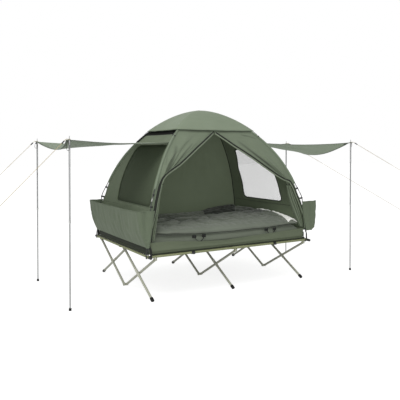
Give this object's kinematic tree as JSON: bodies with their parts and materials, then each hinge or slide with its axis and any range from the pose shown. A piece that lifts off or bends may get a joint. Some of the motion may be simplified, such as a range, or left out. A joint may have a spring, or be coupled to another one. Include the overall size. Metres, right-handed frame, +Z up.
{
  "type": "tent cot",
  "caption": "Double camp bed on folding crossed legs that carries a dome tent, with a pole-held awning and a pocket at each end, and bedding inside.",
  "frame": {"origin": "on the ground under the middle of the bed, and of the whole part without its guy lines", "axes": "+Z up, X along the bed from the left awning to the right one, and the door looks towards -Y"},
  "size_m": [5.6373, 1.786, 1.856],
  "materials": {
    "leg_paint": "satin",
    "rail_paint": "satin",
    "foot_rubber": "matte",
    "cap_plastic": "matte",
    "bed_cloth": "matte",
    "tray_cloth": "matte",
    "tent_cloth": "matte",
    "pocket_cloth": "matte",
    "glass_fibre": "satin",
    "mattress_flock": "matte",
    "quilt": "matte",
    "lining": "matte",
    "awning_cloth": "matte",
    "pole_steel": "satin",
    "guy_cord": "matte",
    "runner_plastic": "matte"
  },
  "bodies": {
    "root": {"rail_centre_left": "rail_paint", "rail_centre_right": "rail_paint", "end_bar_left": "rail_paint", "end_bar_right": "rail_paint", "end_cap_left_front": "cap_plastic", "end_cap_left_back": "cap_plastic", "end_cap_right_front": "cap_plastic", "end_cap_right_back": "cap_plastic", "bed_cloth": "bed_cloth", "floor_tray": "tray_cloth", "front_wall": "tent_cloth", "back_wall": "tent_cloth", "end_wall_left": "tent_cloth", "end_wall_right": "tent_cloth", "roof_cap": "tent_cloth", "curtain_left": "tent_cloth", "curtain_right": "tent_cloth", "pocket_left": "pocket_cloth", "pocket_right": "pocket_cloth", "arch_pole_a": "glass_fibre", "arch_pole_b": "glass_fibre", "air_mattress": "mattress_flock", "sleeping_bag": "quilt", "bag_lining": "lining", "awning_left": "awning_cloth", "awning_right": "awning_cloth"},
    "legs_front_outer": {"leg_front_outer_left": "leg_paint", "leg_front_outer_middle": "leg_paint", "leg_front_outer_right": "leg_paint", "foot_front_left": "foot_rubber", "foot_front_middle": "foot_rubber", "foot_front_right": "foot_rubber"},
    "legs_front_inner": {"leg_front_inner_left": "leg_paint", "leg_front_inner_middle": "leg_paint", "leg_front_inner_right": "leg_paint"},
    "legs_back_outer": {"leg_back_outer_left": "leg_paint", "leg_back_outer_middle": "leg_paint", "leg_back_outer_right": "leg_paint", "foot_back_left": "foot_rubber", "foot_back_middle": "foot_rubber", "foot_back_right": "foot_rubber"},
    "legs_back_inner": {"leg_back_inner_left": "leg_paint", "leg_back_inner_middle": "leg_paint", "leg_back_inner_right": "leg_paint"},
    "rail_front": {"rail_front_left": "rail_paint", "rail_front_right": "rail_paint"},
    "rail_back": {"rail_back_left": "rail_paint", "rail_back_right": "rail_paint"},
    "line_left_front": {"guy_line_left_front": "guy_cord"},
    "line_left_back": {"guy_line_left_back": "guy_cord"},
    "line_right_front": {"guy_line_right_front": "guy_cord"},
    "line_right_back": {"guy_line_right_back": "guy_cord"},
    "pole_left_front": {"awning_pole_left_front": "pole_steel"},
    "pole_left_back": {"awning_pole_left_back": "pole_steel"},
    "pole_right_front": {"awning_pole_right_front": "pole_steel"},
    "pole_right_back": {"awning_pole_right_back": "pole_steel"},
    "slider_left_front": {"runner_left_front": "runner_plastic"},
    "slider_left_back": {"runner_left_back": "runner_plastic"},
    "slider_right_front": {"runner_right_front": "runner_plastic"},
    "slider_right_back": {"runner_right_back": "runner_plastic"}
  },
  "joints": [
    {"name": "cot_fold", "type": "hinge", "parent": "root", "child": "legs_front_outer", "pos_m": [0, 0, 0.3928], "axis": [1, 0, 0], "range_deg": [0, 52], "deforming": ["bed_cloth", "floor_tray", "front_wall", "back_wall", "end_wall_left", "end_wall_right", "roof_cap", "curtain_left", "curtain_right", "pocket_left", "pocket_right", "arch_pole_a", "arch_pole_b", "air_mattress", "sleeping_bag", "bag_lining", "awning_left", "awning_right"]},
    {"name": "front_crossing", "type": "hinge", "parent": "legs_front_outer", "child": "legs_front_inner", "pos_m": [0, -0.345, 0.20315], "axis": [-1, 0, 0], "range_deg": [0, 104]},
    {"name": "front_rail_level", "type": "hinge", "parent": "legs_front_inner", "child": "rail_front", "pos_m": [0, -0.69, 0.3928], "axis": [1, 0, 0], "range_deg": [0, 52]},
    {"name": "back_fold", "type": "hinge", "parent": "root", "child": "legs_back_outer", "pos_m": [0, 0, 0.3928], "axis": [-1, 0, 0], "range_deg": [0, 52]},
    {"name": "back_crossing", "type": "hinge", "parent": "legs_back_outer", "child": "legs_back_inner", "pos_m": [0, 0.345, 0.20315], "axis": [1, 0, 0], "range_deg": [0, 104]},
    {"name": "back_rail_level", "type": "hinge", "parent": "legs_back_inner", "child": "rail_back", "pos_m": [0, 0.69, 0.3928], "axis": [-1, 0, 0], "range_deg": [0, 52]},
    {"name": "travel_left_front", "type": "slide", "parent": "root", "child": "line_left_front", "axis": [0, 1, 0], "range_m": [0, 0.4593]},
    {"name": "travel_left_back", "type": "slide", "parent": "root", "child": "line_left_back", "axis": [0, -1, 0], "range_m": [0, 0.5315]},
    {"name": "travel_right_front", "type": "slide", "parent": "root", "child": "line_right_front", "axis": [0, 1, 0], "range_m": [0, 0.5594]},
    {"name": "travel_right_back", "type": "slide", "parent": "root", "child": "line_right_back", "axis": [0, -1, 0], "range_m": [0, 0.3987]},
    {"name": "lean_left_front", "type": "hinge", "parent": "line_left_front", "child": "pole_left_front", "pos_m": [-1.65, -0.56, 1.5], "axis": [0, 1, 0], "range_deg": [-12, 12]},
    {"name": "lean_left_back", "type": "hinge", "parent": "line_left_back", "child": "pole_left_back", "pos_m": [-1.645, 0.648, 1.5], "axis": [0, 1, 0], "range_deg": [-12, 12]},
    {"name": "lean_right_front", "type": "hinge", "parent": "line_right_front", "child": "pole_right_front", "pos_m": [1.648, -0.682, 1.5], "axis": [0, 1, 0], "range_deg": [-12, 12]},
    {"name": "lean_right_back", "type": "hinge", "parent": "line_right_back", "child": "pole_right_back", "pos_m": [1.65, 0.486, 1.5], "axis": [0, 1, 0], "range_deg": [-12, 12]},
    {"name": "runner_slide_left_front", "type": "slide", "parent": "line_left_front", "child": "slider_left_front", "axis": [-0.7137, -0.1071, -0.6923], "range_m": [0, 0.25]},
    {"name": "runner_slide_left_back", "type": "slide", "parent": "line_left_back", "child": "slider_left_back", "axis": [-0.7137, -0.1071, -0.6923], "range_m": [0, 0.25]},
    {"name": "runner_slide_right_front", "type": "slide", "parent": "line_right_front", "child": "slider_right_front", "axis": [0.7732, -0.3866, -0.5026], "range_m": [0, 0.25]},
    {"name": "runner_slide_right_back", "type": "slide", "parent": "line_right_back", "child": "slider_right_back", "axis": [0.7732, -0.3866, -0.5026], "range_m": [0, 0.25]}
  ],
  "couplings": [
    {"joint": "front_crossing", "follows": "cot_fold", "ratio": 2},
    {"joint": "front_rail_level", "follows": "cot_fold", "ratio": 1},
    {"joint": "back_fold", "follows": "cot_fold", "ratio": 1},
    {"joint": "back_crossing", "follows": "cot_fold", "ratio": 2},
    {"joint": "back_rail_level", "follows": "cot_fold", "ratio": 1},
    {"joint": "travel_left_front", "follows": "cot_fold", "m_per_rad": 0.50601},
    {"joint": "travel_left_back", "follows": "cot_fold", "m_per_rad": 0.58553},
    {"joint": "travel_right_front", "follows": "cot_fold", "m_per_rad": 0.61625},
    {"joint": "travel_right_back", "follows": "cot_fold", "m_per_rad": 0.43914}
  ]
}
